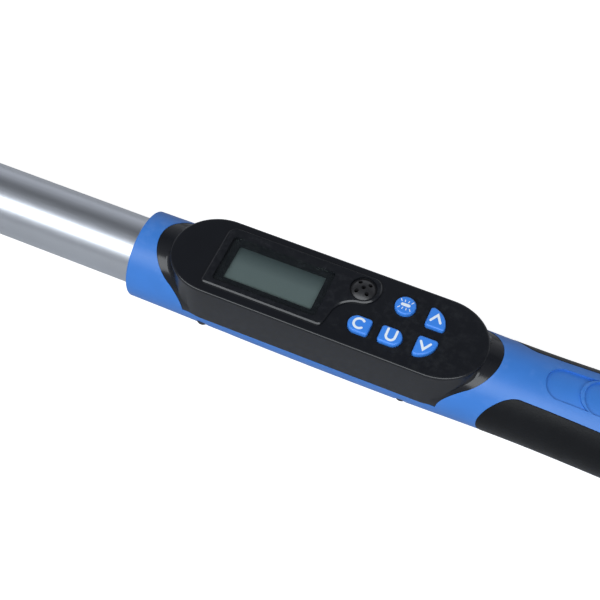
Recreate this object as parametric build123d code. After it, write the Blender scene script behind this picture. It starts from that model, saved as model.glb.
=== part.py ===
from build123d import *
import math
import os

os.makedirs("parts", exist_ok=True)

# Half-inch digital torque wrench, in millimetres. +X runs from the drive to the handle's butt and +Z out of
# the display. The origin is the middle of the square drive's end face, AXIS_Z below the tool's long axis.

# ---- driving dimensions -------------------------------------------------------------------------------
AXIS_Z = 30.0

# ratchet head
SQUARE = 12.7
SQUARE_LENGTH = 15.9
HEAD_R = 21.0
HEAD_BOTTOM = 17.5
HEAD_TOP = 42.5
BORE_R = 15.0
CAVITY_TOP = 37.5
GEAR_R = 14.92
GEAR_ROOT_R = 13.9
GEAR_TEETH = 36
GEAR_Z = (20.3, 37.3)
BOSS_R = 10.4
STUB_R = 9.0
PLATE_R = 19.2
PLATE_T = 2.4
PLATE_SCREW_R = 16.9
PAWL_X = 20.6
PAWL_Z = (22.5, 35.5)
PAWL_ROCK = 12.0
LEVER_X = 29.0
LEVER_SHAFT_R = 3.4
LEVER_START = -25.0
BUTTON_R = 5.0
BUTTON_BORE_DEPTH = 7.5

# neck, flexure beam and tube
SHOULDER_X = (48.0, 61.8)
TUBE_R = 12.5
TUBE_BORE_R = 10.5
TUBE_X = (62.0, 330.0)
FLEX_X = (72.0, 104.0)
FLEX_Y = 12.0
FLEX_Z = 15.0
PLUG_R = 10.45
PLUG_END_X = 130.0
CROSS_PIN_X = (111.0, 123.0)
CROSS_PIN_R = 2.5
CABLE_R = 0.8
CABLE_YZ = (4.2, 8.4)

# handle body: radius of the round section at stations measured from the collar's front edge
COLLAR_X = 190.0
BODY_PROFILE = [
    (0.0, 16.3), (14.0, 16.4), (40.0, 16.8), (85.0, 17.1), (110.0, 16.9), (131.0, 16.5), (148.0, 16.4),
    (172.0, 16.9), (205.0, 17.7), (235.0, 17.3), (262.0, 16.6), (280.0, 17.5), (288.0, 18.0),
]
BODY_LENGTH = BODY_PROFILE[-1][0]
COLLAR_ROUND = 0.5
SEAM_ANGLE = 160
SADDLE_R = TUBE_R + 0.05
SADDLE_SINK = 0.15

# display cover, stations measured from the collar's front edge, heights from the tool's axis
FACE_Z = 16.6
PANEL_Z = 17.6
BOX_X = (12.9, 129.9)
BOX_HALF = 15.9
BOX_BASE_GROWTH = 1.1
BOX_END = 17.5
SKIN = 2.0
CAVITY_X = (27.0, 119.0)
CAVITY_HALF = 13.4
KEY_CEILING_Z = 15.2
WINDOW = (35.3, 68.5, -7.4, 7.0)
LENS = (32.3, 71.1, -10.0, 9.1)
LENS_T = 1.0
LENS_CORNER = 1.2
GLASS_Z = (14.5, 15.4)
BACKLIGHT_Z = (13.75, 14.45)
LENS_DROP = 0.05
LENS_GAP = 0.05
GRILLE = (82.1, 7.0)
GRILLE_R = 4.6
GRILLE_DOME_R = 7.0
SOUND_HOLE = (0.75, 1.85)
PANEL_BEVEL = 0.42
PANEL_TAPER = 50
COVER_SCREWS = [(29.5, 13.9), (29.5, -13.9), (106.0, 13.9), (106.0, -13.9)]
COVER_SCREW_SEAT_Z = -4.6
COVER_SCREW_HEAD = (2.4, 1.4)
FIXING_SCREWS = [17.0, 126.0]

# board and keys
BOARD_X = (29.0, 117.5)
BOARD_HALF = 11.5
BOARD_Z = (12.7, 13.7)
BOARD_SCREWS = [(31.4, 9.0), (31.4, -9.0), (115.0, 9.0), (115.0, -9.0)]
KEY_TOP_Z = 18.1
KEY_FLANGE_Z = (14.6, 15.1)
KEY_CORNER = 1.1
KEY_CROWN = 0.8
DOME_R = 1.9

# soft grips and the row of scales, stations from the collar's front edge
GRIP_X = (133.3, 281.0)
GRIP_HALF_Z = 13.1
GRIP_DEPTH = 1.2
GRIP_PROUD = 0.1
PETAL_X = 150.3
PETAL_PITCH = 13.2
PETAL_COUNT = 9
PETAL_DEPTH = 0.9

# battery bay and cap, measured from the drive axis
BAY_X = (336.0, 456.0)
BAY_R = 12.05
SLEEVE_R = (7.7, 12.0)
CELL_R = 7.1
CELL_LENGTH = 49.2
CELL_FRONT_X = 339.2
CAP_X = (478.3, 497.0)
CAP_SPIGOT_X = 458.0
CAP_SPIGOT_R = 13.1
CAP_BORE_R = 13.4
CAP_R = 17.9
CAP_FLUTES = 12

HOUSING = Pos(COLLAR_X, 0, AXIS_Z)
LOW = (Align.CENTER, Align.CENTER, Align.MIN)


# ---- shared shapes ------------------------------------------------------------------------------------
def rod_z(radius, z0, z1, x=0.0, y=0.0):
    """A cylinder along Z."""
    return Pos(x, y, z0) * Cylinder(radius, z1 - z0, align=LOW)


def rod_x(radius, x0, x1, y=0.0, z=0.0):
    """A cylinder along X."""
    return Pos(x0, y, z) * Rot(0, 90, 0) * Cylinder(radius, x1 - x0, align=LOW)


def block(x0, x1, y0, y1, z0, z1):
    """A box between two corners."""
    size = (x1 - x0, y1 - y0, z1 - z0)
    return Pos((x0 + x1) / 2, (y0 + y1) / 2, (z0 + z1) / 2) * Box(*size)


def slab(sketch, z0, z1):
    """A plan outline extruded between two heights."""
    return Pos(0, 0, z0) * extrude(sketch, z1 - z0)


def plan_rect(x0, x1, y0, y1, radius):
    """A rounded rectangle in plan."""
    return Pos((x0 + x1) / 2, (y0 + y1) / 2) * RectangleRounded(x1 - x0, y1 - y0, radius)


def closed_face(*edges):
    """The face inside a closed run of edges."""
    return make_face(Curve() + list(edges))


def coil(radius, wire_r, x0, x1, turns):
    """A compression spring along +Z from x0 to x1."""
    path = Helix(pitch=(x1 - x0) / turns, height=x1 - x0, radius=radius)
    section = Plane(origin=path @ 0, z_dir=path % 0) * Circle(wire_r)
    return Pos(0, 0, x0) * sweep(section, path=path, is_frenet=True)


def cable(points, radius, bend):
    """A round cable beside the tool's mid plane, through (x, z) points with tangent bends."""
    path = FilletPolyline(*[(x, CABLE_YZ[0], z) for x, z in points], radius=bend)
    return sweep(Plane(origin=path @ 0, z_dir=path % 0) * Circle(radius), path=path)


def write(name, shape):
    """Writes one node."""
    export_step(shape, f"parts/{name}.step")


# ---- ratchet head -------------------------------------------------------------------------------------
def head_plan():
    """Teardrop outline of the ratchet head."""
    return make_hull((Circle(HEAD_R) + Pos(33, 0) * Circle(12.2)).edges())


def ratchet_head():
    """Forged head, neck, flexure beam and the plug that is pinned into the tube."""
    head = slab(head_plan(), HEAD_BOTTOM, HEAD_TOP)
    head = fillet(head.edges().group_by(Axis.Z)[0] + head.edges().group_by(Axis.Z)[-1], 2.2)
    neck = rod_x(11.0, 36, SHOULDER_X[0] + 1, z=AXIS_Z)
    shoulder = rod_x(TUBE_R, *SHOULDER_X, z=AXIS_Z)
    shoulder = fillet(shoulder.edges().sort_by(Axis.X)[0], 1.6)
    shank = rod_x(10.2, SHOULDER_X[1] - 1, FLEX_X[0], z=AXIS_Z)
    half_y, half_z = FLEX_Y / 2, FLEX_Z / 2
    beam = block(FLEX_X[0] - 1, FLEX_X[1] + 1, -half_y, half_y, AXIS_Z - half_z, AXIS_Z + half_z)
    plug = rod_x(PLUG_R, FLEX_X[1], PLUG_END_X, z=AXIS_Z)
    head += [neck, shoulder, shank, beam, plug]
    head -= rod_z(BORE_R, HEAD_BOTTOM - 1, CAVITY_TOP)
    head -= rod_z(PLATE_R + 0.1, HEAD_BOTTOM - 1, HEAD_BOTTOM + PLATE_T + 0.1)
    head -= rod_z(STUB_R + 0.05, CAVITY_TOP - 1, HEAD_TOP + 1)
    head -= block(12, 26.2, -9.2, 9.2, PAWL_Z[0] - 0.4, PAWL_Z[1] + 0.4)
    head -= rod_z(5.2, PAWL_Z[0] - 0.4, PAWL_Z[1] + 0.4, x=LEVER_X)
    head -= rod_z(LEVER_SHAFT_R + 0.05, PAWL_Z[1], HEAD_TOP + 1, x=LEVER_X)
    head -= [rod_z(1.02, HEAD_BOTTOM, HEAD_BOTTOM + 7.5, x, y) for x, y in plate_screw_places()]
    head -= [rod_z(CROSS_PIN_R + 0.02, 0, 60, x=x) for x in CROSS_PIN_X]
    cable_y, cable_z = CABLE_YZ
    head -= block(FLEX_X[1] - 1, PLUG_END_X + 1, cable_y - 1.1, 11, AXIS_Z + cable_z - 1.1, AXIS_Z + 12)
    seal_groove = rod_x(13, 58.4, 60.2, z=AXIS_Z) - rod_x(11.4, 58, 61, z=AXIS_Z)
    return head - seal_groove


def plate_screw_places():
    """Centres of the three screws of the gear cover plate."""
    angles = [math.radians(a) for a in (60, 180, 300)]
    return [(PLATE_SCREW_R * math.cos(a), PLATE_SCREW_R * math.sin(a)) for a in angles]


def gear_plan(growth=0.0):
    """Outline of the ratchet teeth, with the option to grow it by a clearance."""
    points = []
    for k in range(2 * GEAR_TEETH):
        angle = math.pi * k / GEAR_TEETH
        radius = (GEAR_R if k % 2 else GEAR_ROOT_R) + growth
        points.append((radius * math.cos(angle), radius * math.sin(angle)))
    return make_face(Polyline(*points, close=True))


def drive_gear():
    """Ratchet wheel with the square drive below and the release button's stub above."""
    gear = slab(gear_plan(), *GEAR_Z)
    gear += rod_z(BOSS_R, SQUARE_LENGTH, GEAR_Z[0] + 1)
    gear += rod_z(STUB_R, GEAR_Z[1] - 1, HEAD_TOP + 0.3)
    square = slab(Rectangle(SQUARE, SQUARE), 0, SQUARE_LENGTH + 1)
    square = chamfer(square.edges().group_by(Axis.Z)[0], 0.9)
    square = fillet(square.edges().filter_by(Axis.Z), 0.8)
    gear += square
    gear -= rod_z(BUTTON_R + 0.08, HEAD_TOP - BUTTON_BORE_DEPTH, HEAD_TOP + 1)
    gear -= rod_z(2.05, 3, HEAD_TOP)
    ball_hole = rod_x(2.2, -SQUARE, 0, z=7.9)
    return gear - ball_hole


def release_pin():
    """Button and rod that let the socket ball sink when pressed."""
    button = rod_z(BUTTON_R, HEAD_TOP - 1.6, HEAD_TOP + 1.6)
    button = fillet(button.edges().group_by(Axis.Z)[-1], 0.8)
    rod = rod_z(2.0, 5.6, HEAD_TOP - 1)
    waist = rod_z(3, 9.9, 13.4) - rod_z(1.2, 9, 14)
    return button + rod - waist


def socket_ball():
    """Ball that holds the socket on the square."""
    return Pos(-4.95, 0, 7.9) * Sphere(2.15) - block(-2.9, 0, -3, 3, 4, 12)


def release_spring():
    """Spring under the release button."""
    return coil(3.4, 0.4, HEAD_TOP - BUTTON_BORE_DEPTH + 0.5, HEAD_TOP - 2.1, 3.5)


def gear_cover_plate():
    """Round plate that holds the gear in the head."""
    plate = rod_z(PLATE_R, HEAD_BOTTOM, HEAD_BOTTOM + PLATE_T)
    plate = chamfer(plate.edges().group_by(Axis.Z)[0].sort_by(SortBy.LENGTH)[-1], 0.4)
    plate -= rod_z(BOSS_R + 0.08, 0, 40)
    for x, y in plate_screw_places():
        plate -= rod_z(1.3, 0, 40, x, y)
        plate -= rod_z(2.05, HEAD_BOTTOM - 1, HEAD_BOTTOM + 1.4, x, y)
    return plate


def plate_screw(x, y):
    """One pan-head screw of the gear cover plate."""
    head = rod_z(1.9, HEAD_BOTTOM + 0.05, HEAD_BOTTOM + 1.35, x, y)
    head -= block(x - 2.5, x + 2.5, y - 0.3, y + 0.3, HEAD_BOTTOM - 1, HEAD_BOTTOM + 0.7)
    return head + rod_z(1.0, HEAD_BOTTOM + 1.3, HEAD_BOTTOM + 7.2, x, y)


def pawl():
    """Rocking pawl. At rest its near end is in the ratchet teeth, with the lever set to tighten."""
    plan = plan_rect(13.2, 24.0, -7.0, 7.0, 1.0)
    plan -= Pos(26.5, 0) * Circle(3.8)
    steps = 7
    for k in range(steps):
        turned = Pos(PAWL_X, 0) * Rot(0, 0, -PAWL_ROCK * k / (steps - 1)) * Pos(-PAWL_X, 0)
        plan -= turned * gear_plan(0.12)
    return slab(plan, *PAWL_Z)


def reversing_lever():
    """Thumb lever on top of the head with its shaft and the cam that carries the plunger."""
    paddle_plan = make_hull((Circle(6.4) + Pos(15.0, 0) * Circle(3.6)).edges())
    paddle = slab(paddle_plan, HEAD_TOP + 0.3, HEAD_TOP + 4.3)
    paddle = fillet(paddle.edges().group_by(Axis.Z)[-1], 1.2)
    grooves = [block(x, x + 0.9, -4, 4, HEAD_TOP + 3.8, HEAD_TOP + 5) for x in (10.5, 12.7, 14.9)]
    paddle -= grooves
    shaft = rod_z(LEVER_SHAFT_R, PAWL_Z[1], HEAD_TOP + 1)
    cam = rod_z(4.6, PAWL_Z[0], PAWL_Z[1])
    bore = rod_x(1.55, -6, 2.5, z=(PAWL_Z[0] + PAWL_Z[1]) / 2)
    lever = paddle + shaft + cam - bore
    return Pos(LEVER_X, 0, 0) * Rot(0, 0, LEVER_START) * lever


def lever_plunger():
    """Plunger in the lever's cam that pushes the pawl over."""
    z = (PAWL_Z[0] + PAWL_Z[1]) / 2
    pin = rod_x(1.5, -4.5, -2.2, z=z) - rod_x(1.3, -3.4, -2, z=z)
    return Pos(LEVER_X, 0, 0) * Rot(0, 0, LEVER_START) * pin


def plunger_spring():
    """Spring behind the plunger."""
    spring = Rot(0, 90, 0) * coil(1.0, 0.22, -2.0, 2.2, 5)
    z = (PAWL_Z[0] + PAWL_Z[1]) / 2
    return Pos(LEVER_X, 0, z) * Rot(0, 0, LEVER_START) * spring


# ---- tube and what is in it ---------------------------------------------------------------------------
def main_tube():
    """Chromed steel tube, with slots for the two cables."""
    tube = rod_x(TUBE_R, *TUBE_X, z=AXIS_Z) - rod_x(TUBE_BORE_R, 0, 400, z=AXIS_Z)
    tube = chamfer(tube.edges().group_by(Axis.X)[0].sort_by(SortBy.LENGTH)[-1], 0.4)
    tube -= [rod_z(CROSS_PIN_R + 0.02, 0, 60, x=x) for x in CROSS_PIN_X]
    y = CABLE_YZ[0]
    tube -= [block(x0, x1, y - 2, y + 2, AXIS_Z + 6, AXIS_Z + 14) for x0, x1 in ((206, 233), (296.5, 322))]
    tube -= [rod_z(1.7, 0, AXIS_Z - 5, x=COLLAR_X + x) for x in FIXING_SCREWS]
    return tube


def strain_gauges():
    """Four gauge pads bonded to the flexure beam's sides."""
    pads = []
    for side in (-1, 1):
        for x in (79.0, 90.0):
            y = side * (FLEX_Y / 2 + 0.15)
            pads.append(Pos(x + 4, y, AXIS_Z) * Box(8, 0.26, 5))
    return pads


def gauge_cable():
    """Screened cable from the strain gauges to the board."""
    z0, z1 = AXIS_Z + CABLE_YZ[1], AXIS_Z + BOARD_Z[0] - CABLE_R - 0.1
    return cable([(FLEX_X[1] - 3, z0), (209, z0), (221, z1), (231, z1)], CABLE_R, 8)


def battery_cable():
    """Cable from the battery bay to the board."""
    z0, z1 = AXIS_Z + CABLE_YZ[1], AXIS_Z + BOARD_Z[0] - CABLE_R - 0.1
    return cable([(336.6, z0), (316, z0), (304, z1), (297.5, z1)], CABLE_R, 8)


# ---- handle body --------------------------------------------------------------------------------------
def body_of_revolution(offset=0.0, x0=0.0, x1=BODY_LENGTH):
    """The body's round outer form, grown by an offset and cut between two stations."""
    edge = Spline(*[(x, r + offset) for x, r in BODY_PROFILE])
    sides = Polyline(edge @ 1, (BODY_LENGTH, 0), (0, 0), edge @ 0)
    full = Rot(SEAM_ANGLE, 0, 0) * revolve(Plane.XZ * closed_face(edge, sides), Axis.X)
    if x0 > 0 or x1 < BODY_LENGTH:
        full &= block(x0, x1, -40, 40, -40, 40)
    return full


def cover_plan(growth=0.0):
    """Plan outline of the display cover, with a rounded point at each end."""
    nose = ThreePointArc((17.5, -13.8), (7.6, 0), (17.5, 13.8))
    tail = ThreePointArc((128.0, 12.0), (134.8, 0), (128.0, -12.0))
    far = Polyline((17.5, 13.8), (27.7, 18.8), (114.3, 18.8), (128.0, 12.0))
    near = Polyline((128.0, -12.0), (114.3, -18.8), (27.7, -18.8), (17.5, -13.8))
    face = closed_face(nose, far, tail, near)
    return offset(face, growth, kind=Kind.INTERSECTION) if growth else face


def grip_plan(growth=0.0):
    """Side outline of a soft grip, with the option to grow it by a clearance."""
    x0, x1 = GRIP_X[0] - growth, GRIP_X[1] + growth
    h = GRIP_HALF_Z + growth
    front, rear = 12.0, 7.0
    top = Line((x0 + front, h), (x1 - rear, h))
    bottom = Line((x0 + front, -h), (x1 - rear, -h))
    nose = EllipticalCenterArc((x0 + front, 0), front, h, start_angle=90, arc_size=180)
    tail = EllipticalCenterArc((x1 - rear, 0), rear, h, start_angle=-90, arc_size=180)
    return closed_face(top, nose, bottom, tail)


def grip_prism(side, growth=0.0):
    """Everything on one side of the handle inside the grip's outline."""
    return extrude(Plane.XZ * grip_plan(growth), -side * 30)


def petal_plan(index):
    """One scale of the row pressed into the top of the handle."""
    x0 = PETAL_X + PETAL_PITCH * index
    x1 = x0 + PETAL_PITCH - 1.3
    half = 6.1 + 0.9 * math.sin(math.pi * min(index, 6) / 6)
    reach = 5.0
    nose = ThreePointArc((x0 + reach, -half), (x0, 0), (x0 + reach, half))
    back = ThreePointArc((x1 + reach, half + 0.2), (x1, 0), (x1 + reach, -half - 0.2))
    ends = [Line((x0 + reach, half), (x1 + reach, half + 0.2))]
    ends.append(Line((x1 + reach, -half - 0.2), (x0 + reach, -half)))
    return closed_face(nose, back, *ends)


def handle_body():
    """One-piece moulding: collar, lower half of the display section, and handle."""
    body = body_of_revolution()
    body = fillet(body.edges().group_by(Axis.X)[0], COLLAR_ROUND)
    for side in (-1, 1):
        trough = body_of_revolution(2.0) - body_of_revolution(-GRIP_DEPTH)
        body -= trough & grip_prism(side, 0.05)
    skin = body_of_revolution(1.0, 140, 280) - body_of_revolution(-PETAL_DEPTH, 140, 280)
    for index in range(PETAL_COUNT):
        body -= skin & slab(petal_plan(index), 5, 25)
    body -= slab(cover_plan(0.12), 0, 30)
    body -= rod_x(SADDLE_R, -1, TUBE_X[1] - COLLAR_X + 1)
    body -= rod_x(1.3, TUBE_X[1] - COLLAR_X, BAY_X[0] - COLLAR_X + 1, *CABLE_YZ)
    body -= rod_x(BAY_R, BAY_X[0] - COLLAR_X, BODY_LENGTH + 1)
    body -= rod_x(CAP_BORE_R, BAY_X[1] - COLLAR_X, BODY_LENGTH + 1)
    for x, y in COVER_SCREWS:
        body -= rod_z(1.55, -20, 1, x, y)
        body -= rod_z(COVER_SCREW_HEAD[0] + 0.15, -20, COVER_SCREW_SEAT_Z, x, y)
    for x in FIXING_SCREWS:
        body -= rod_z(2.1, -20, 0, x=x)
        body -= rod_z(3.8, -20, -14.2, x=x)
    return HOUSING * body


def fixing_screw(x):
    """One screw that fixes the handle body to the tube, in housing stations."""
    socket = Pos(x, 0, 0) * slab(RegularPolygon(1.6, 6), -17, -14.9)
    head = rod_z(3.6, -16.0, -14.2, x=x) - socket
    return HOUSING * (head + rod_z(1.65, -14.3, -9.0, x=x))


def soft_grip(side):
    """One rubber grip let into the side of the handle."""
    shell = body_of_revolution(GRIP_PROUD, 120, BODY_LENGTH)
    shell -= body_of_revolution(0.05 - GRIP_DEPTH, 110, BODY_LENGTH)
    return HOUSING * (shell & grip_prism(side))


# ---- display cover ------------------------------------------------------------------------------------
def box_plan(growth=0.0):
    """Plan outline of the display box at its face: straight sides with elliptical ends."""
    x0, x1 = BOX_X[0] - growth, BOX_X[1] + growth
    half, end = BOX_HALF + growth, BOX_END + growth
    front = EllipticalCenterArc((x0 + end, 0), end, half, start_angle=90, arc_size=180)
    rear = EllipticalCenterArc((x1 - end, 0), end, half, start_angle=-90, arc_size=180)
    near = Line((x0 + end, -half), (x1 - end, -half))
    far = Line((x1 - end, half), (x0 + end, half))
    return closed_face(front, near, rear, far)


def panel_plan():
    """Plan outline of the raised panel round the display and the buzzer."""
    edges = [
        Line((29.2, 12.8), (29.2, -12.4)),
        Line((29.2, -12.4), (74.1, -12.4)),
        Line((74.1, -12.4), (75.1, -6.6)),
        ThreePointArc((75.1, -6.6), (77.5, -1.3), (82.3, 1.3)),
        ThreePointArc((82.3, 1.3), (87.5, 4.6), (87.5, 10.8)),
        ThreePointArc((87.5, 10.8), (86.3, 12.2), (84.5, 12.8)),
        Line((84.5, 12.8), (29.2, 12.8)),
    ]
    face = closed_face(*edges)
    far, near_front, near_rear = [
        face.vertices().sort_by_distance((x, y, 0))[0] for x, y in ((29.2, 12.8), (29.2, -12.4), (74.1, -12.4))
    ]
    face = fillet(far, 3.2)
    face = fillet(face.vertices().sort_by_distance(near_front)[0], 1.3)
    return fillet(face.vertices().sort_by_distance(near_rear)[0], 1.8)


def display_cover():
    """Black upper shell over the display section, screwed to the body from below."""
    box = loft([Pos(0, 0, FACE_Z) * box_plan(), Pos(0, 0, 0.0) * box_plan(BOX_BASE_GROWTH)])
    box = fillet(box.edges().group_by(Axis.Z)[-1], 0.9)
    saddle = body_of_revolution(-SADDLE_SINK, 2, 136) & slab(cover_plan(), 0, FACE_Z - 0.3)
    outer = (box & slab(cover_plan(), 0, 25)) + saddle
    bosses = [cover_boss(x, y) & outer for x, y in COVER_SCREWS]
    bevel_z = PANEL_Z - PANEL_BEVEL
    outer += slab(panel_plan(), FACE_Z - 0.5, bevel_z)
    outer += Pos(0, 0, bevel_z) * extrude(panel_plan(), PANEL_BEVEL, taper=PANEL_TAPER)
    outer -= rod_x(TUBE_R + 0.25, 0, 140)
    hollow = block(*CAVITY_X, -CAVITY_HALF, CAVITY_HALF, -1, FACE_Z - SKIN)
    hollow = fillet(hollow.edges().filter_by(Axis.Z), 6.0)
    outer -= hollow
    outer -= key_recess()
    outer += bosses
    outer -= [rod_z(1.3, -1, 9.5, x, y) for x, y in COVER_SCREWS]
    outer += [rod_z(1.9, BOARD_Z[1] + 0.05, FACE_Z - 1, x, y) for x, y in BOARD_SCREWS]
    outer -= [rod_z(0.85, BOARD_Z[1] - 1, FACE_Z - 1.2, x, y) for x, y in BOARD_SCREWS]
    x0, x1, y0, y1 = LENS
    outer -= slab(plan_rect(x0, x1, y0, y1, LENS_CORNER), PANEL_Z - LENS_DROP - LENS_T - 0.02, PANEL_Z + 1)
    x0, x1, y0, y1 = WINDOW
    outer -= slab(plan_rect(x0, x1, y0, y1, 0.6), 10, PANEL_Z + 1)
    outer -= block(x0 - 1.6, x1 + 1.6, y0 - 1.6, y1 + 2.4, 10, GLASS_Z[1] + 0.05)
    outer -= rod_z(GRILLE_R + 0.2, PANEL_Z - 0.9, PANEL_Z + 1, *GRILLE)
    outer -= rod_z(3.6, 10, PANEL_Z, *GRILLE)
    outer -= [slab(offset(plan, 0.25), 10, PANEL_Z + 1) for plan in key_plans().values()]
    return HOUSING * outer


def key_recess():
    """Room under the face for the keys' flanges."""
    return block(80.4, 114.6, -11.8, 11.7, 10, KEY_CEILING_Z)


def cover_boss(x, y):
    """Boss in the cover's side wall for one cover screw."""
    return rod_z(2.7, 0.0, 11.0, x, y) - rod_x(TUBE_R + 0.25, 0, 140)


def cover_screw(x, y):
    """One screw that pulls the cover down on the body."""
    radius, height = COVER_SCREW_HEAD
    bottom = COVER_SCREW_SEAT_Z - height
    head = rod_z(radius, bottom, COVER_SCREW_SEAT_Z, x, y)
    head -= block(x - 0.35, x + 0.35, y - 1.5, y + 1.5, bottom - 1, bottom + 0.9)
    head -= block(x - 1.5, x + 1.5, y - 0.35, y + 0.35, bottom - 1, bottom + 0.9)
    return HOUSING * (head + rod_z(1.25, COVER_SCREW_SEAT_Z - 0.5, 9.0, x, y))


def lens():
    """Clear lens in the panel's recess."""
    x0, x1, y0, y1 = LENS
    top = PANEL_Z - LENS_DROP
    plan = offset(plan_rect(x0, x1, y0, y1, LENS_CORNER), -LENS_GAP)
    return HOUSING * slab(plan, top - LENS_T, top)


def display_layer(z0, z1):
    """One flat layer of the display stack."""
    x0, x1, y0, y1 = WINDOW
    return HOUSING * block(x0 - 1.4, x1 + 1.4, y0 - 1.4, y1 + 2.2, z0, z1)


def buzzer_grille():
    """Domed disc with five sound holes."""
    x, y = GRILLE
    disc = rod_z(GRILLE_R, PANEL_Z - 0.88, PANEL_Z + 0.9, x, y)
    disc &= Pos(x, y, PANEL_Z + 0.95 - GRILLE_DOME_R) * Sphere(GRILLE_DOME_R)
    hole_r, reach = SOUND_HOLE
    spots = [(0, 0), (reach, reach), (reach, -reach), (-reach, reach), (-reach, -reach)]
    return HOUSING * (disc - [rod_z(hole_r, 10, 30, x + dx, y + dy) for dx, dy in spots])


def buzzer():
    """Piezo buzzer on the board."""
    return HOUSING * rod_z(3.4, BOARD_Z[1] + 0.05, PANEL_Z - 1.6, *GRILLE)


# ---- keys and board -----------------------------------------------------------------------------------
def key_plans():
    """Plan outline of each key's cap."""
    left_end = closed_face(
        Line((90.1, -3.5), (84.9, -3.5)), ThreePointArc((84.9, -3.5), (82.1, -6.8), (84.9, -10.1)),
        Line((84.9, -10.1), (90.1, -10.1)), Line((90.1, -10.1), (90.1, -3.5)),
    )
    right_end = closed_face(
        Line((93.6, -10.1), (98.8, -10.1)), ThreePointArc((98.8, -10.1), (101.6, -6.8), (98.8, -3.5)),
        Line((98.8, -3.5), (93.6, -3.5)), Line((93.6, -3.5), (93.6, -10.1)),
    )
    upper = closed_face(
        Line((106.2, 1.8), (106.2, 9.8)), ThreePointArc((106.2, 9.8), (111.3, 7.6), (113.2, 1.8)),
        Line((113.2, 1.8), (106.2, 1.8)),
    )
    lower = closed_face(
        Line((106.2, -2.4), (106.2, -10.4)), ThreePointArc((106.2, -10.4), (111.3, -8.2), (113.2, -2.4)),
        Line((113.2, -2.4), (106.2, -2.4)),
    )
    plans = {"key_clear": left_end, "key_unit": right_end, "key_up": upper, "key_down": lower}
    plans = {name: fillet(plan.vertices(), KEY_CORNER) for name, plan in plans.items()}
    plans["key_light"] = Pos(97.8, 6.4) * Circle(3.7)
    return plans


def key(plan):
    """A key cap with its hidden flange."""
    cap = slab(plan, KEY_FLANGE_Z[0], KEY_TOP_Z)
    cap = fillet(cap.edges().group_by(Axis.Z)[-1], KEY_CROWN)
    return HOUSING * (cap + slab(offset(plan, 0.6), *KEY_FLANGE_Z))


def snap_domes():
    """Switch domes on the board, one under each key."""
    domes = []
    for plan in key_plans().values():
        centre = plan.center()
        domes.append(HOUSING * rod_z(DOME_R, BOARD_Z[1] + 0.02, BOARD_Z[1] + 0.35, centre.X, centre.Y))
    return domes


def main_board():
    """Circuit board over the tube."""
    board = slab(plan_rect(*BOARD_X, -BOARD_HALF, BOARD_HALF, 2.0), *BOARD_Z)
    return HOUSING * (board - [rod_z(1.1, 0, 30, x, y) for x, y in BOARD_SCREWS])


def board_screw(x, y):
    """One board screw, from below."""
    head = rod_z(1.8, BOARD_Z[0] - 1.1, BOARD_Z[0] - 0.02, x, y)
    return HOUSING * (head + rod_z(0.8, BOARD_Z[0] - 0.1, BOARD_Z[1] + 1.6, x, y))


def board_parts():
    """Processor on top of the board, and amplifier, crystal and capacitor below its edges."""
    return [
        HOUSING * block(72.6, 77.6, -10.5, -5.5, BOARD_Z[1] + 0.02, BOARD_Z[1] + 0.8),
        HOUSING * block(40, 46, 7.6, 11.2, BOARD_Z[0] - 1.5, BOARD_Z[0] - 0.02),
        HOUSING * block(60, 67, -11.2, -8.0, BOARD_Z[0] - 2.0, BOARD_Z[0] - 0.02),
        HOUSING * block(84, 88, 8.0, 11.2, BOARD_Z[0] - 2.4, BOARD_Z[0] - 0.02),
    ]


# ---- battery bay --------------------------------------------------------------------------------------
def battery_sleeve():
    """Liner that centres the cells in the handle."""
    sleeve = rod_x(SLEEVE_R[1], BAY_X[0] + 0.3, BAY_X[1] - 0.5, z=AXIS_Z)
    sleeve -= rod_x(SLEEVE_R[0], BAY_X[0], BAY_X[1], z=AXIS_Z)
    return sleeve - rod_x(1.3, 330, 340, CABLE_YZ[0], AXIS_Z + CABLE_YZ[1])


def front_contact():
    """Contact plate at the inner end of the bay."""
    plate = rod_x(7.2, BAY_X[0] + 0.6, BAY_X[0] + 1.4, z=AXIS_Z)
    return plate + rod_x(3.0, BAY_X[0] + 1, BAY_X[0] + 2.9, z=AXIS_Z)


def cell(front_x):
    """One AA cell, positive end forward."""
    can = rod_x(CELL_R, front_x + 1.0, front_x + 1.0 + CELL_LENGTH, z=AXIS_Z)
    can = fillet(can.edges(), 0.6)
    return can + rod_x(2.7, front_x, front_x + 2, z=AXIS_Z)


def cap_spring():
    """Battery spring on the contact carrier."""
    return Pos(0, 0, AXIS_Z) * Rot(0, 90, 0) * coil(4.6, 0.5, 441.2, 458.6, 6)


def cap_contact():
    """Contact plate under the battery spring."""
    return rod_x(7.4, 459.2, 460.0, z=AXIS_Z)


def contact_carrier():
    """Insulating disc that turns freely in the cap and carries the contact."""
    carrier = rod_x(11.2, 460.05, 465.5, z=AXIS_Z)
    return carrier + rod_x(3.0, 465, 472.0, z=AXIS_Z)


def battery_cap():
    """Screw cap that closes the battery bay."""
    shell = rod_x(CAP_R, *CAP_X, z=AXIS_Z)
    shell = fillet(shell.edges().group_by(Axis.X)[-1], 5.0)
    for k in range(CAP_FLUTES):
        flute = rod_x(2.4, CAP_X[0] + 3.5, CAP_X[1] + 1, z=CAP_R + 1.5)
        shell -= Pos(0, 0, AXIS_Z) * Rot(360 * k / CAP_FLUTES, 0, 0) * flute
    cap = shell + rod_x(CAP_SPIGOT_R, CAP_SPIGOT_X, CAP_X[0] + 1, z=AXIS_Z)
    cap -= rod_x(11.5, CAP_SPIGOT_X - 1, 466.0, z=AXIS_Z)
    cap -= rod_x(3.05, 465, 472.5, z=AXIS_Z)
    return cap - (rod_x(14, 472.0, 473.6, z=AXIS_Z) - rod_x(12.1, 471, 475, z=AXIS_Z))


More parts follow.
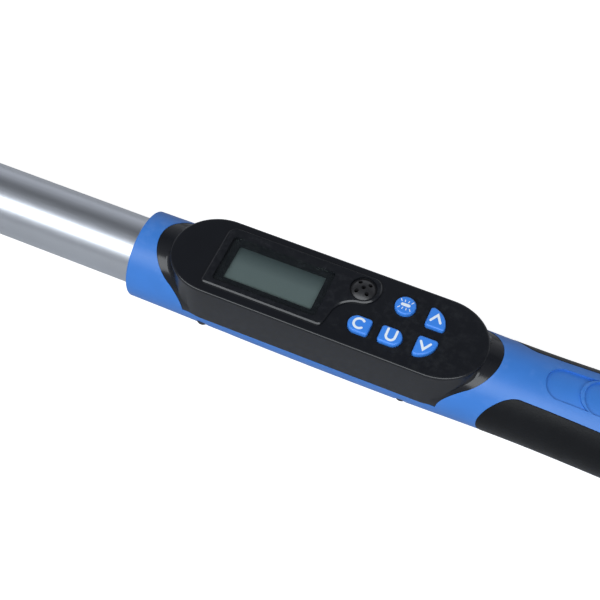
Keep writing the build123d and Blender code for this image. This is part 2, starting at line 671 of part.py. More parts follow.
def cap_seal():
    """O-ring on the cap's spigot."""
    return Pos(472.8, 0, AXIS_Z) * Rot(0, 90, 0) * Torus(12.74, 0.6)


def neck_seal():
    """O-ring in the neck, just ahead of the tube."""
    return Pos(59.3, 0, AXIS_Z) * Rot(0, 90, 0) * Torus(12.15, 0.7)


# ---- nodes --------------------------------------------------------------------------------------------
write("ratchet_head", ratchet_head())
write("drive_gear", drive_gear())
write("release_pin", release_pin())
write("release_spring", release_spring())
write("socket_ball", socket_ball())
write("gear_cover_plate", gear_cover_plate())
write("gear_plate_screws", Compound(children=[plate_screw(x, y) for x, y in plate_screw_places()]))
write("pawl", pawl())
write("reversing_lever", reversing_lever())
write("lever_plunger", lever_plunger())
write("plunger_spring", plunger_spring())
write("neck_seal", neck_seal())
write("main_tube", main_tube())
cross_pins = [rod_z(CROSS_PIN_R, AXIS_Z - 12.3, AXIS_Z + 12.3, x=x) for x in CROSS_PIN_X]
write("cross_pins", Compound(children=cross_pins))
write("strain_gauges", Compound(children=strain_gauges()))
write("gauge_cable", gauge_cable())
write("battery_cable", battery_cable())
write("handle_body", handle_body())
write("grip_near", soft_grip(-1))
write("grip_far", soft_grip(1))
write("tube_fixing_screws", Compound(children=[fixing_screw(x) for x in FIXING_SCREWS]))
write("display_cover", display_cover())
write("cover_screws", Compound(children=[cover_screw(x, y) for x, y in COVER_SCREWS]))
write("lens", lens())
write("display_glass", display_layer(*GLASS_Z))
write("backlight", display_layer(*BACKLIGHT_Z))
write("buzzer_grille", buzzer_grille())
write("buzzer", buzzer())
for key_name, key_plan in key_plans().items():
    write(key_name, key(key_plan))
write("snap_domes", Compound(children=snap_domes()))
write("main_board", main_board())
write("board_parts", Compound(children=board_parts()))
write("board_screws", Compound(children=[board_screw(x, y) for x, y in BOARD_SCREWS]))
write("battery_sleeve", battery_sleeve())
write("front_contact", front_contact())
write("cell_front", cell(CELL_FRONT_X))
write("cell_rear", cell(CELL_FRONT_X + CELL_LENGTH + 1.3))
write("cap_spring", cap_spring())
write("cap_contact", cap_contact())
write("contact_carrier", contact_carrier())
write("battery_cap", battery_cap())
write("cap_seal", cap_seal())
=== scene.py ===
import math

import bmesh
import bpy
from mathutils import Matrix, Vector
from mathutils.bvhtree import BVHTree


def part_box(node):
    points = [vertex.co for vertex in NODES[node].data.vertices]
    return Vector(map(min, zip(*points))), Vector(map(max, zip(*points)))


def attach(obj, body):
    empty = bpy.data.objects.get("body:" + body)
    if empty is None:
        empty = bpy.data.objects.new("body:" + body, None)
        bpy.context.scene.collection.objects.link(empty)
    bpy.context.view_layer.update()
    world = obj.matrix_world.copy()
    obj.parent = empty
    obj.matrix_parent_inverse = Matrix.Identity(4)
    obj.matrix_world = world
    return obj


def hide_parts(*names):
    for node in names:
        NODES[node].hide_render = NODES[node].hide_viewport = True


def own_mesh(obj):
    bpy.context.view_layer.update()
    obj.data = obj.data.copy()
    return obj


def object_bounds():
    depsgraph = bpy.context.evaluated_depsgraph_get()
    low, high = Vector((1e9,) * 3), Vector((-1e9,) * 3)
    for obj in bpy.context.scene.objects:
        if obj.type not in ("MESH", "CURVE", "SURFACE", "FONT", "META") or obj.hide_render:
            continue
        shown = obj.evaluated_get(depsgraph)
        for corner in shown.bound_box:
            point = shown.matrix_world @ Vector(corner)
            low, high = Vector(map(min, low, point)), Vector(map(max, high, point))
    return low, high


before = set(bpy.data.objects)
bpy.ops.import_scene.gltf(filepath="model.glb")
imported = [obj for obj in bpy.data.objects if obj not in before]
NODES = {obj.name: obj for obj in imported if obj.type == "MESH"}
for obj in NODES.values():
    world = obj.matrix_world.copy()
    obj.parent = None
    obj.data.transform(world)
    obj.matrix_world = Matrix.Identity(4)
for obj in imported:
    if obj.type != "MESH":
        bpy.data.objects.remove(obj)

CAD_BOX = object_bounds()
MM = 0.001
COLLAR_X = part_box("handle_body")[0].x
AXIS_Z = sum(corner.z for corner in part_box("main_tube")) / 2

# ---- camera, from the collar's front edge and the tool's axis ------------------------------------------
CAMERA_FROM_COLLAR = Vector((0.1575, -0.21769, 0.3841))
CAMERA_AZIMUTH = 23.834
CAMERA_ELEVATION = 57.73
CAMERA_LENS = 76.19
SENSOR_WIDTH = 36.0

# ---- light and floor; the world's greys run from the front horizon, over the top, to the back one -------
LIGHT_TINT = (0.93, 0.97, 1.0)
LIT_POINT = Vector((0.25, 0, 0.03))
FRONT_BOX = {"elevation": 50.0, "distance": 1.25, "width": 3.0, "height": 0.70, "power": 23.0}
WORLD_TINT = (0.95, 0.98, 1.05)
WORLD_GREYS = [
    (0.0, 0.30), (0.10, 0.30), (0.42, 0.32), (0.56, 0.18), (0.66, 0.09), (0.80, 0.36), (1.0, 0.72),
]
FLOOR_SIZE = 14.0
FLOOR_GAP = 0.0004
FLOOR_GLOW = 0.85
FLOOR_TONES = ((0.49, 0.49, 0.495), (0.51, 0.51, 0.515))


# ---- node helpers ---------------------------------------------------------------------------------------
NOISE_ROUGHNESS = 0.55


class Nodes:
    """A material's node tree, with short calls for the nodes used here."""

    def __init__(self, name):
        self.material = bpy.data.materials.new(name)
        self.material.use_nodes = True
        self.tree = self.material.node_tree
        self.tree.nodes.clear()
        self.out = self.add("ShaderNodeOutputMaterial")
        self.coords = self.add("ShaderNodeTexCoord").outputs["Object"]

    def add(self, kind, **settings):
        node = self.tree.nodes.new(kind)
        for key, value in settings.items():
            setattr(node, key, value)
        return node

    def link(self, source, target):
        self.tree.links.new(source, target)

    def stretched(self, scale):
        """Object coordinates scaled by axis, for streaks and brushed grain."""
        mapping = self.add("ShaderNodeMapping")
        mapping.inputs["Scale"].default_value = scale
        self.link(self.coords, mapping.inputs["Vector"])
        return mapping.outputs["Vector"]

    def noise(self, scale, detail=3.0, vector=None):
        """Noise with its grain given in repeats per metre."""
        node = self.add("ShaderNodeTexNoise")
        node.inputs["Scale"].default_value = scale
        node.inputs["Detail"].default_value = detail
        node.inputs["Roughness"].default_value = NOISE_ROUGHNESS
        self.link(vector or self.coords, node.inputs["Vector"])
        return node.outputs["Fac"]

    def ramp(self, factor, stops):
        """Colour ramp from (position, grey or colour) stops."""
        node = self.add("ShaderNodeValToRGB")
        elements = node.color_ramp.elements
        while len(elements) < len(stops):
            elements.new(0.5)
        for element, (position, value) in zip(elements, stops):
            element.position = position
            colour = (value, value, value) if isinstance(value, float) else value
            element.color = (*colour, 1.0)
        self.link(factor, node.inputs["Fac"])
        return node.outputs["Color"]

    def bump(self, height, distance, normal=None):
        """Bump in metres of relief."""
        node = self.add("ShaderNodeBump")
        node.inputs["Distance"].default_value = distance
        node.inputs["Strength"].default_value = 1.0
        self.link(height, node.inputs["Height"])
        if normal:
            self.link(normal, node.inputs["Normal"])
        return node.outputs["Normal"]

    def edge_wear(self, base, worn, amount):
        """Base colour that lightens on convex edges, broken up by noise."""
        pointiness = self.add("ShaderNodeNewGeometry").outputs["Pointiness"]
        edge = self.ramp(pointiness, [(0.515, 0.0), (0.56, 1.0)])
        patches = self.ramp(self.noise(420.0), [(0.45, 0.0), (0.7, 1.0)])
        both = self.add("ShaderNodeMath", operation="MULTIPLY")
        self.link(edge, both.inputs[0])
        self.link(patches, both.inputs[1])
        part = self.add("ShaderNodeMath", operation="MULTIPLY")
        self.link(both.outputs[0], part.inputs[0])
        part.inputs[1].default_value = amount
        mix = self.add("ShaderNodeMix", data_type="RGBA")
        self.link(part.outputs[0], mix.inputs["Factor"])
        self.link(base, mix.inputs["A"])
        mix.inputs["B"].default_value = (*worn, 1.0)
        return mix.outputs["Result"]

    def principled(self, **values):
        """Principled shader; a number or colour goes on its socket and an output is linked."""
        shader = self.add("ShaderNodeBsdfPrincipled")
        for key, value in values.items():
            socket = shader.inputs[key.replace("_", " ")]
            if isinstance(value, bpy.types.NodeSocket):
                self.link(value, socket)
            else:
                socket.default_value = value
        return shader.outputs[0]

    def finish(self, shader):
        self.link(shader, self.out.inputs["Surface"])
        return self.material


def shade(colour, factor):
    """A colour made lighter or darker."""
    return tuple(min(1.0, c * factor) for c in colour)


def plastic(name, colour, rough, grain, relief, variation=0.08, coat=0.0, worn=None, level=0.5, spread=0.03):
    """Moulded plastic: faint mottling, polished patches, and a fine grain whose relief is in metres."""
    n = Nodes(name)
    mottle = n.noise(55.0, 4.0)
    low, high = shade(colour, 1.0 - variation), shade(colour, 1.0 + variation)
    base = n.ramp(mottle, [(0.3, low), (0.7, high)])
    if worn:
        base = n.edge_wear(base, worn, 0.35)
    rub = n.ramp(n.noise(130.0, 5.0), [(0.3, rough - spread), (0.7, rough + spread)])
    fine = n.noise(grain, 2.0)
    normal = n.bump(fine, relief)
    return n.finish(n.principled(Base_Color=base, Roughness=rub, Coat_Weight=coat, Coat_Roughness=0.2,
                                 Specular_IOR_Level=level, Normal=normal))


def rubber(name, colour, rough, grain, relief):
    """Soft elastomer: matt, with a fine pebble and a dusty sheen."""
    n = Nodes(name)
    base = n.ramp(n.noise(70.0, 4.0), [(0.3, shade(colour, 0.85)), (0.7, shade(colour, 1.2))])
    rub = n.ramp(n.noise(160.0, 5.0), [(0.3, rough - 0.06), (0.7, rough + 0.06)])
    cells = n.add("ShaderNodeTexVoronoi", feature="SMOOTH_F1")
    cells.inputs["Scale"].default_value = grain
    n.link(n.coords, cells.inputs["Vector"])
    normal = n.bump(cells.outputs["Distance"], relief)
    normal = n.bump(n.noise(grain * 2.5, 2.0), relief * 0.5, normal=normal)
    return n.finish(n.principled(Base_Color=base, Roughness=rub, Sheen_Weight=0.02, Sheen_Roughness=0.45,
                                 Specular_IOR_Level=0.2, Normal=normal))


def metal(name, colour, rough, streak, relief, variation=0.06, spread=0.05):
    """Plated or machined metal: streaked grain, small tarnish and roughness changes."""
    n = Nodes(name)
    grain = n.noise(1.0, 4.0, n.stretched(streak))
    cloud = n.noise(38.0, 4.0)
    base = n.ramp(cloud, [(0.3, shade(colour, 1.0 - variation)), (0.7, shade(colour, 1.0 + variation))])
    rub = n.ramp(grain, [(0.3, rough - spread), (0.7, rough + spread)])
    normal = n.bump(grain, relief)
    return n.finish(n.principled(Base_Color=base, Roughness=rub, Metallic=1.0, Normal=normal))


def clear_lens(name):
    """Clear window: see-through, with reflections by angle and faint smears."""
    n = Nodes(name)
    smear = n.ramp(n.noise(210.0, 5.0), [(0.4, 0.03), (0.75, 0.10)])
    gloss = n.add("ShaderNodeBsdfGlossy")
    n.link(smear, gloss.inputs["Roughness"])
    clear = n.add("ShaderNodeBsdfTransparent")
    clear.inputs["Color"].default_value = (0.93, 0.96, 0.95, 1.0)
    mix = n.add("ShaderNodeMixShader")
    fresnel = n.add("ShaderNodeFresnel")
    fresnel.inputs["IOR"].default_value = 1.38
    front = n.add("ShaderNodeMath", operation="SUBTRACT")
    front.inputs[0].default_value = 1.0
    n.link(n.add("ShaderNodeNewGeometry").outputs["Backfacing"], front.inputs[1])
    outer = n.add("ShaderNodeMath", operation="MULTIPLY")
    n.link(fresnel.outputs[0], outer.inputs[0])
    n.link(front.outputs[0], outer.inputs[1])
    n.link(outer.outputs[0], mix.inputs["Fac"])
    n.link(clear.outputs[0], mix.inputs[1])
    n.link(gloss.outputs[0], mix.inputs[2])
    return n.finish(mix.outputs[0])


def liquid_crystal_painted_shade(name, low, high):
    """Unlit display: grey-green cell with a fine pixel grain and a painted shadow that darkens it towards
    the far edge.
    """
    n = Nodes(name)
    split = n.add("ShaderNodeSeparateXYZ")
    n.link(n.coords, split.inputs[0])
    # painted shadow: the colour grows darker towards the far edge (high Y), standing in for the shade of the
    # recess
    reach = n.add("ShaderNodeMapRange")
    n.link(split.outputs["Y"], reach.inputs["Value"])
    reach.inputs["From Min"].default_value = low
    reach.inputs["From Max"].default_value = high
    base = n.ramp(reach.outputs[0], [(0.0, (0.150, 0.178, 0.178)), (0.50, (0.142, 0.168, 0.172)),
                                     (0.80, (0.070, 0.088, 0.092)), (1.0, (0.018, 0.022, 0.026))])
    speck = n.ramp(n.noise(2600.0, 2.0), [(0.3, 0.94), (0.7, 1.0)])
    mix = n.add("ShaderNodeMix", data_type="RGBA", blend_type="MULTIPLY")
    mix.inputs["Factor"].default_value = 1.0
    n.link(base, mix.inputs["A"])
    n.link(speck, mix.inputs["B"])
    rub = n.ramp(n.noise(300.0, 3.0), [(0.3, 0.34), (0.7, 0.42)])
    return n.finish(n.principled(Base_Color=mix.outputs["Result"], Roughness=rub, Specular_IOR_Level=0.25))


def circuit_board(name):
    """Green solder mask over faint tracks."""
    n = Nodes(name)
    bricks = n.add("ShaderNodeTexBrick")
    bricks.inputs["Scale"].default_value = 190.0
    bricks.inputs["Color1"].default_value = (0.010, 0.105, 0.040, 1.0)
    bricks.inputs["Color2"].default_value = (0.012, 0.135, 0.052, 1.0)
    bricks.inputs["Mortar"].default_value = (0.030, 0.220, 0.090, 1.0)
    n.link(n.coords, bricks.inputs["Vector"])
    normal = n.bump(bricks.outputs["Fac"], 0.00002)
    rub = n.ramp(n.noise(240.0), [(0.3, 0.24), (0.7, 0.34)])
    return n.finish(n.principled(Base_Color=bricks.outputs["Color"], Roughness=rub, Normal=normal))


# ---- materials ------------------------------------------------------------------------------------------
BLUE = (0.046, 0.205, 0.640)
BLACK = (0.0075, 0.0085, 0.0115)

tube_finish = metal("tube_satin_chrome", (0.66, 0.69, 0.74), 0.34, (160.0, 1500.0, 1500.0), 0.0000012,
                    variation=0.03, spread=0.02)
head_finish = metal("head_satin_chrome", (0.62, 0.63, 0.65), 0.26, (420.0, 420.0, 420.0), 0.0000015,
                    variation=0.04, spread=0.03)
gear_finish = metal("gear_steel", (0.34, 0.34, 0.34), 0.33, (500.0, 500.0, 60.0), 0.000008)
steel_finish = metal("plain_steel", (0.52, 0.52, 0.52), 0.30, (700.0, 700.0, 700.0), 0.000005)
bright_finish = metal("bright_steel", (0.72, 0.72, 0.72), 0.14, (300.0, 300.0, 1200.0), 0.000002)
spring_finish = metal("spring_wire", (0.50, 0.50, 0.49), 0.28, (800.0, 800.0, 800.0), 0.000004)
nickel_finish = metal("nickel_contact", (0.66, 0.63, 0.57), 0.22, (600.0, 600.0, 600.0), 0.000003)
blue_finish = plastic("blue_nylon", BLUE, 0.40, 3200.0, 0.000010, 0.06, worn=(0.12, 0.28, 0.70), level=0.45)
key_finish = plastic("blue_keys", (0.050, 0.255, 0.850), 0.30, 4200.0, 0.000004, 0.05)
cover_finish = plastic("black_cover", BLACK, 0.19, 3600.0, 0.000003, 0.10, worn=(0.03, 0.032, 0.036),
                       spread=0.008)
cap_finish = plastic("black_cap", (0.014, 0.015, 0.018), 0.42, 2800.0, 0.000014, 0.15,
                     worn=(0.05, 0.05, 0.055))
grille_finish = plastic("black_grille", (0.020, 0.020, 0.022), 0.30, 5200.0, 0.000014, 0.15)
buzzer_finish = plastic("buzzer_case", (0.012, 0.012, 0.012), 0.25, 2400.0, 0.000004, 0.2)
chip_finish = plastic("chip_cases", (0.020, 0.020, 0.021), 0.55, 5000.0, 0.000006, 0.2)
sleeve_finish = plastic("bay_liner", (0.030, 0.030, 0.033), 0.5, 2600.0, 0.00001, 0.15)
guide_finish = plastic("light_guide", (0.80, 0.82, 0.80), 0.35, 1800.0, 0.000004, 0.03)
wrap_finish = plastic("cell_wrap", (0.060, 0.060, 0.068), 0.25, 500.0, 0.000006, 0.25, coat=0.4)
film_finish = plastic("gauge_film", (0.62, 0.36, 0.10), 0.3, 1900.0, 0.000003, 0.12)
lever_finish = plastic("blacked_lever", (0.026, 0.027, 0.030), 0.38, 2400.0, 0.000010, 0.2,
                       worn=(0.16, 0.16, 0.17))
screw_finish = plastic("blacked_screws", (0.022, 0.022, 0.024), 0.36, 2600.0, 0.000006, 0.2,
                       worn=(0.20, 0.20, 0.20))
grip_finish = rubber("grip_elastomer", (0.0048, 0.0055, 0.0070), 0.46, 1900.0, 0.00003)
seal_finish = rubber("seal_rubber", (0.012, 0.012, 0.012), 0.40, 3000.0, 0.000006)
sheath_finish = rubber("cable_sheath", (0.06, 0.06, 0.065), 0.5, 1600.0, 0.000008)
ink_finish = plastic("key_ink", (0.86, 0.93, 1.0), 0.45, 3800.0, 0.000004, 0.04)

FINISH = {
    "ratchet_head": head_finish, "gear_cover_plate": head_finish, "gear_plate_screws": steel_finish,
    "neck_seal": seal_finish, "main_tube": tube_finish, "cross_pins": steel_finish,
    "strain_gauges": film_finish, "gauge_cable": sheath_finish, "battery_cable": sheath_finish,
    "handle_body": blue_finish, "grip_near": grip_finish, "grip_far": grip_finish,
    "tube_fixing_screws": screw_finish, "display_cover": cover_finish, "cover_screws": screw_finish,
    "lens": clear_lens("lens_clear"), "backlight": guide_finish, "buzzer_grille": grille_finish,
    "buzzer": buzzer_finish, "snap_domes": nickel_finish, "main_board": circuit_board("board_mask"),
    "board_parts": chip_finish, "board_screws": steel_finish, "battery_sleeve": sleeve_finish,
    "front_contact": nickel_finish, "cell_front": wrap_finish, "cell_rear": wrap_finish,
    "drive_gear": gear_finish, "release_pin": bright_finish, "release_spring": spring_finish,
    "socket_ball": bright_finish, "pawl": gear_finish, "reversing_lever": lever_finish,
    "lever_plunger": steel_finish, "plunger_spring": spring_finish, "contact_carrier": sleeve_finish,
    "cap_contact": nickel_finish, "cap_spring": spring_finish, "battery_cap": cap_finish,
    "cap_seal": seal_finish,
}
glass_low, glass_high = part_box("display_glass")
FINISH["display_glass"] = liquid_crystal_painted_shade("liquid_crystal_painted_shade", glass_low.y, glass_high.y)
FINISH.update({name: key_finish for name in NODES if name.startswith("key_")})

for name, node in NODES.items():
    node.data.materials.clear()
    node.data.materials.append(FINISH[name])


# ---- release spring, copied into a mesh of its own and carried by the drive -----------------------------
pressed_spring = bpy.data.objects.new("release_spring_coil", NODES["release_spring"].data.copy())
bpy.context.scene.collection.objects.link(pressed_spring)
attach(pressed_spring, "drive")
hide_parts("release_spring")
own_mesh(pressed_spring)


# ---- key symbols ----------------------------------------------------------------------------------------
SYMBOL_RISE = 0.00005
SYMBOL_SINK = 0.00008
MITRE_LIMIT = 0.4
CAP_STEPS = 6
RING_STEPS = 18


def ribbon(work, points, width, z0, z1):
    """Adds a flat stroke of even width with round ends along plan points to a bmesh."""
    half = width / 2
    points = [Vector(p) for p in points]
    left, right = [], []
    for i, point in enumerate(points):
        before = (point - points[i - 1]).normalized() if i else None
        after = (points[i + 1] - point).normalized() if i + 1 < len(points) else None
        along = ((before or after) + (after or before)).normalized()
        side = Vector((-along.y, along.x))
        reach = half / max(MITRE_LIMIT, side.dot(Vector((-(after or before).y, (after or before).x))))
        left.append(point + side * reach)
        right.append(point - side * reach)
    start = (points[1] - points[0]).normalized()
    end = (points[-1] - points[-2]).normalized()
    outline = list(left)
    for outward, centre in ((end, points[-1]), (-start, points[0])):
        side = Vector((-outward.y, outward.x))
        for k in range(1, CAP_STEPS):
            angle = math.pi * k / CAP_STEPS
            outline.append(centre + half * (side * math.cos(angle) + outward * math.sin(angle)))
        if centre is points[-1]:
            outline += right[::-1]
    low = [work.verts.new((p.x, p.y, z0)) for p in outline]
    high = [work.verts.new((p.x, p.y, z1)) for p in outline]
    work.faces.new(high)
    work.faces.new(low[::-1])
    count = len(outline)
    for i in range(count):
        j = (i + 1) % count
        work.faces.new((low[i], low[j], high[j], high[i]))


def symbol(key, strokes, width, shift=(0.0, 0.0)):
    """Raised ink on a key's top, from strokes in millimetres about the key's middle."""
    low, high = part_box(key)
    centre = Vector(((low.x + high.x) / 2 + shift[0] * MM, (low.y + high.y) / 2 + shift[1] * MM))
    work = bmesh.new()
    for stroke in strokes:
        points = [centre + Vector(p) * MM for p in stroke]
        ribbon(work, points, width * MM, high.z - SYMBOL_SINK, high.z + SYMBOL_RISE)
    bmesh.ops.recalc_face_normals(work, faces=work.faces)
    mesh = bpy.data.meshes.new(key + "_symbol")
    work.to_mesh(mesh)
    work.free()
    mesh.materials.append(ink_finish)
    piece = bpy.data.objects.new(key + "_symbol", mesh)
    bpy.context.scene.collection.objects.link(piece)
    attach(piece, key)
    return piece


def arc(x, y, radius, start, end):
    """Points along a circular arc, angles in degrees."""
    angles = [math.radians(start + (end - start) * k / RING_STEPS) for k in range(RING_STEPS + 1)]
    return [(x + radius * math.cos(a), y + radius * math.sin(a)) for a in angles]


open_ring = arc(0, 0, 1.9, 45, 315)
cup = [(-1.6, 2.2), (-1.6, 0.0), *arc(0, -0.3, 1.6, 180, 360)[1:-1], (1.6, 0.0), (1.6, 2.2)]
peak = [(-1.75, -1.2), (0.0, 1.6), (1.75, -1.2)]
dip = [(x, -y) for x, y in peak]
lamp_bar = [[(-1.15, 0.0), (1.15, 0.0)]]
rays = []
for side in (-1, 1):
    for x, lean in ((-1.75, -0.5), (-0.6, -0.15), (0.6, 0.15), (1.75, 0.5)):
        rays.append([(x, side * 1.15), (x + lean, side * 1.85)])

symbol("key_clear", [open_ring], 0.85, (0.0, 0.1))
symbol("key_unit", [cup], 0.85)
symbol("key_up", [peak], 0.85, (-0.35, -0.3))
symbol("key_down", [dip], 0.85, (-0.35, 0.4))
symbol("key_light", rays, 0.28)
bar = symbol("key_light", lamp_bar, 1.15)
bar.name = "key_light_bar"


# ---- coves at the two ends of the display box -----------------------------------------------------------
# Lengths are in millimetres, from the collar's front edge along the tool and from the tool's axis upwards.
BOX_END = 17.5
BOX_HALF = 15.9
COVE_FACE_DROP = 1.0
COVE_STEPS = 44
COVE_ROWS = 10
COVE_WALL_GAP = 0.07
COVE_WALL_LEAN = 0.9
COVE_FOOT_PROBE = 1.2
COVE_INSET = 0.25
COVE_LIFT = 0.03
COVE_LOWEST = 0.15
COVE_LEAST_WALL = 0.02
COVE_SINK = 0.3
COVE_SHARE = 0.42
COVE_MERGE = (0.5, 0.8)
PROBE_HEIGHT = 40.0
FACE_PROBE_BACK = 20.0
FACE_PROBE_EDGE = 1.5
ARC_STEPS = 40
SHARP_ANGLE = 35


def arc_through(tip, end):
    """Plan points of the circular arc from an arc's tip on the X axis to one of its ends."""
    centre_x = (end[0] ** 2 + end[1] ** 2 - tip ** 2) / (2 * (end[0] - tip))
    radius = abs(tip - centre_x)
    start = 0.0 if tip > centre_x else math.pi
    finish = math.atan2(end[1], end[0] - centre_x)
    turns = [start + (finish - start) * k / ARC_STEPS for k in range(ARC_STEPS + 1)]
    return [(centre_x + radius * math.cos(a), radius * math.sin(a)) for a in turns]


def spread(points, count):
    """Points evenly spaced along a plan polyline."""
    points = [Vector(p) for p in points]
    lengths = [0.0]
    for a, b in zip(points, points[1:]):
        lengths.append(lengths[-1] + (b - a).length)
    spaced, j = [], 0
    for k in range(count + 1):
        want = lengths[-1] * k / count
        while j < len(points) - 2 and lengths[j + 1] < want:
            j += 1
        part = (want - lengths[j]) / (lengths[j + 1] - lengths[j])
        spaced.append(points[j].lerp(points[j + 1], min(1.0, part)))
    return spaced


def surface_height():
    """A function that gives the height of the cover or the body at a plan point."""
    graph = bpy.context.evaluated_depsgraph_get()
    trees = [BVHTree.FromObject(NODES[n], graph) for n in ("display_cover", "handle_body")]

    def height(x, y):
        start = Vector((COLLAR_X + x * MM, y * MM, AXIS_Z + PROBE_HEIGHT * MM))
        hits = [tree.ray_cast(start, Vector((0, 0, -1)))[0] for tree in trees]
        return max(((h.z - AXIS_Z) / MM for h in hits if h), default=0.0)

    return height


def crease_share(part):
    """How far out the cove's foot reaches, as a share of the flange, at a part of the way round."""
    merge = (part - COVE_MERGE[0]) / (COVE_MERGE[1] - COVE_MERGE[0])
    merge = max(0.0, min(1.0, merge))
    return COVE_SHARE + (1.0 - COVE_SHARE) * merge * merge * (3 - 2 * merge)


def cove_section(wall, away, rim, share, face, height):
    """One closed section: a concave outer line from the wall to the foot, and an inner line below it."""
    foot_z = min(max(0.0, height(*(wall + away * COVE_FOOT_PROBE))), face)
    top_z = max(face - COVE_FACE_DROP, foot_z + COVE_LEAST_WALL)
    end = wall.lerp(rim - away * COVE_INSET, share)
    end_z = max(COVE_LOWEST, min(height(*end), foot_z))
    top = Vector((*(wall + away * COVE_WALL_GAP), top_z))
    foot = Vector((*(wall + away * COVE_WALL_LEAN), foot_z))
    low = Vector((*end, end_z + COVE_LIFT))
    inside = Vector((*away, 0.0)) * COVE_SINK
    down = Vector((0, 0, COVE_SINK))
    outer, inner = [], []
    for j in range(COVE_ROWS + 1):
        t = j / COVE_ROWS
        outer.append(top * (1 - t) ** 2 + foot * 2 * t * (1 - t) + low * t * t)
        if t < 0.5:
            inner.append((top - inside).lerp(foot - inside - down, 2 * t))
        else:
            inner.append((foot - inside - down).lerp(low - down, 2 * t - 1))
    return outer + inner[::-1]


def closed_loft(name, sections):
    """Mesh through closed sections, with a face at each end."""
    work = bmesh.new()
    grid = []
    for section in sections:
        places = [(COLLAR_X + p.x * MM, p.y * MM, AXIS_Z + p.z * MM) for p in section]
        grid.append([work.verts.new(place) for place in places])
    count = len(grid[0])
    for a, b in zip(grid, grid[1:]):
        for j in range(count):
            k = (j + 1) % count
            work.faces.new((a[j], a[k], b[k], b[j]))
    work.faces.new(grid[0])
    work.faces.new(grid[-1][::-1])
    bmesh.ops.recalc_face_normals(work, faces=work.faces)
    mesh = bpy.data.meshes.new(name)
    work.to_mesh(mesh)
    work.free()
    return mesh


def cove(name, box_tip, flange_tip, flange_end, corner, last):
    """Concave sweep from the box's end wall down to a crease on the flange."""
    height = surface_height()
    out = 1.0 if flange_tip > flange_end[0] else -1.0
    centre = box_tip - out * BOX_END
    face = height(centre - out * FACE_PROBE_BACK, BOX_HALF - FACE_PROBE_EDGE)
    edge = spread(arc_through(flange_tip, flange_end) + [corner, last], COVE_STEPS)
    near = [(-1, k) for k in range(COVE_STEPS + 1)]
    far = [(1, k) for k in range(COVE_STEPS + 1)]
    sections = []
    for side, k in near[:0:-1] + far:
        turn = math.pi / 2 * k / COVE_STEPS
        wall = Vector((centre + out * BOX_END * math.cos(turn), side * BOX_HALF * math.sin(turn)))
        away = Vector((out * math.cos(turn) / BOX_END, side * math.sin(turn) / BOX_HALF)).normalized()
        rim = Vector((edge[k].x, side * edge[k].y))
        share = crease_share(k / COVE_STEPS)
        sections.append(cove_section(wall, away, rim, share, face, height))
    mesh = closed_loft(name, sections)
    mesh.materials.append(cover_finish)
    mesh.shade_smooth()
    piece = bpy.data.objects.new(name, mesh)
    bpy.context.scene.collection.objects.link(piece)
    split = piece.modifiers.new("sharp", "EDGE_SPLIT")
    split.split_angle = math.radians(SHARP_ANGLE)
    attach(piece, "wrench")


cove("cover_cove_front", box_tip=12.9, flange_tip=7.6, flange_end=(17.5, 13.8), corner=(22.6, 16.3),
     last=(31.5, 16.75))
cove("cover_cove_rear", box_tip=129.9, flange_tip=134.8, flange_end=(128.0, 12.0), corner=(118.5, 16.7),
     last=(109.5, 16.95))


# ---- floor, light and camera ----------------------------------------------------------------------------
def floor():
    """Large pale floor with a faint tone change."""
    low = Vector(CAD_BOX[0])
    place = (LIT_POINT.x, 0, low.z - FLOOR_GAP)
    bpy.ops.mesh.primitive_plane_add(size=FLOOR_SIZE, location=place)
    plane = bpy.context.object
    plane.name = "floor"
    n = Nodes("pale_floor")
    base = n.ramp(n.noise(1.5), [(0.3, FLOOR_TONES[0]), (0.7, FLOOR_TONES[1])])
    seen = n.add("ShaderNodeMath", operation="MULTIPLY")
    n.link(n.add("ShaderNodeLightPath").outputs["Is Camera Ray"], seen.inputs[0])
    seen.inputs[1].default_value = FLOOR_GLOW
    shader = n.principled(Base_Color=base, Roughness=0.8, Specular_IOR_Level=0.1,
                          Emission_Color=(1.0, 1.0, 1.0, 1.0), Emission_Strength=seen.outputs[0])
    plane.data.materials.append(n.finish(shader))


def direction(azimuth, elevation):
    """Unit vector towards a viewer or a light; azimuth 0 is in front, on the -Y side."""
    a, e = math.radians(azimuth), math.radians(elevation)
    return Vector((math.sin(a) * math.cos(e), -math.cos(a) * math.cos(e), math.sin(e)))


def soft_box(name, elevation, distance, width, height, power):
    """Area light in front that looks at the lit point."""
    light = bpy.data.lights.new(name, "AREA")
    light.shape = "RECTANGLE"
    light.size, light.size_y = width, height
    light.energy = power
    light.color = LIGHT_TINT
    lamp = bpy.data.objects.new(name, light)
    bpy.context.scene.collection.objects.link(lamp)
    towards = direction(0.0, elevation)
    lamp.location = LIT_POINT + towards * distance
    lamp.rotation_euler = (-towards).to_track_quat("-Z", "Y").to_euler()


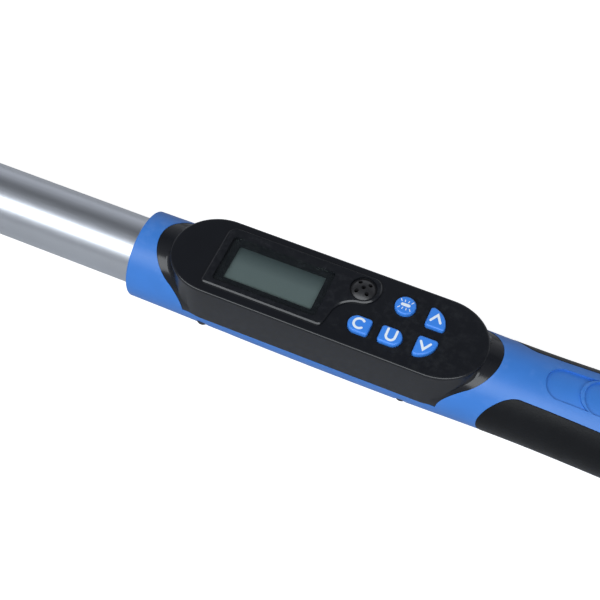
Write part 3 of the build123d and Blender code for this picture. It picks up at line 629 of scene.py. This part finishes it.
def studio_world():
    """Studio surround that changes with the angle from the front horizon, over the top, to the back one."""
    world = bpy.data.worlds.new("studio")
    bpy.context.scene.world = world
    world.use_nodes = True
    tree = world.node_tree
    tree.nodes.clear()
    out = tree.nodes.new("ShaderNodeOutputWorld")
    background = tree.nodes.new("ShaderNodeBackground")
    coords = tree.nodes.new("ShaderNodeTexCoord")
    split = tree.nodes.new("ShaderNodeSeparateXYZ")
    front = tree.nodes.new("ShaderNodeMath")
    front.operation = "MULTIPLY"
    front.inputs[1].default_value = -1.0
    turn = tree.nodes.new("ShaderNodeMath")
    turn.operation = "ARCTAN2"
    reach = tree.nodes.new("ShaderNodeMapRange")
    reach.inputs["From Min"].default_value = 0.0
    reach.inputs["From Max"].default_value = math.pi
    ramp = tree.nodes.new("ShaderNodeValToRGB")
    while len(ramp.color_ramp.elements) < len(WORLD_GREYS):
        ramp.color_ramp.elements.new(0.5)
    for element, (position, grey) in zip(ramp.color_ramp.elements, WORLD_GREYS):
        element.position = position
        element.color = (*[grey * part for part in WORLD_TINT], 1.0)
    links = tree.links
    links.new(coords.outputs["Generated"], split.inputs[0])
    links.new(split.outputs["Y"], front.inputs[0])
    links.new(split.outputs["Z"], turn.inputs[0])
    links.new(front.outputs[0], turn.inputs[1])
    links.new(turn.outputs[0], reach.inputs["Value"])
    links.new(reach.outputs[0], ramp.inputs["Fac"])
    links.new(ramp.outputs["Color"], background.inputs["Color"])
    background.inputs["Strength"].default_value = 1.0
    links.new(background.outputs[0], out.inputs["Surface"])


def camera():
    """Camera at the photograph's viewing angle."""
    data = bpy.data.cameras.new("camera")
    data.sensor_width = SENSOR_WIDTH
    data.lens = CAMERA_LENS
    data.clip_start = 0.01
    data.clip_end = 30.0
    view = bpy.data.objects.new("camera", data)
    bpy.context.scene.collection.objects.link(view)
    back = direction(CAMERA_AZIMUTH, CAMERA_ELEVATION)
    view.location = Vector((COLLAR_X, 0, AXIS_Z)) + CAMERA_FROM_COLLAR
    view.rotation_euler = (-back).to_track_quat("-Z", "Y").to_euler()
    bpy.context.scene.camera = view


bpy.context.scene.view_settings.view_transform = "Standard"
floor()
studio_world()
soft_box("front_box", **FRONT_BOX)
camera()
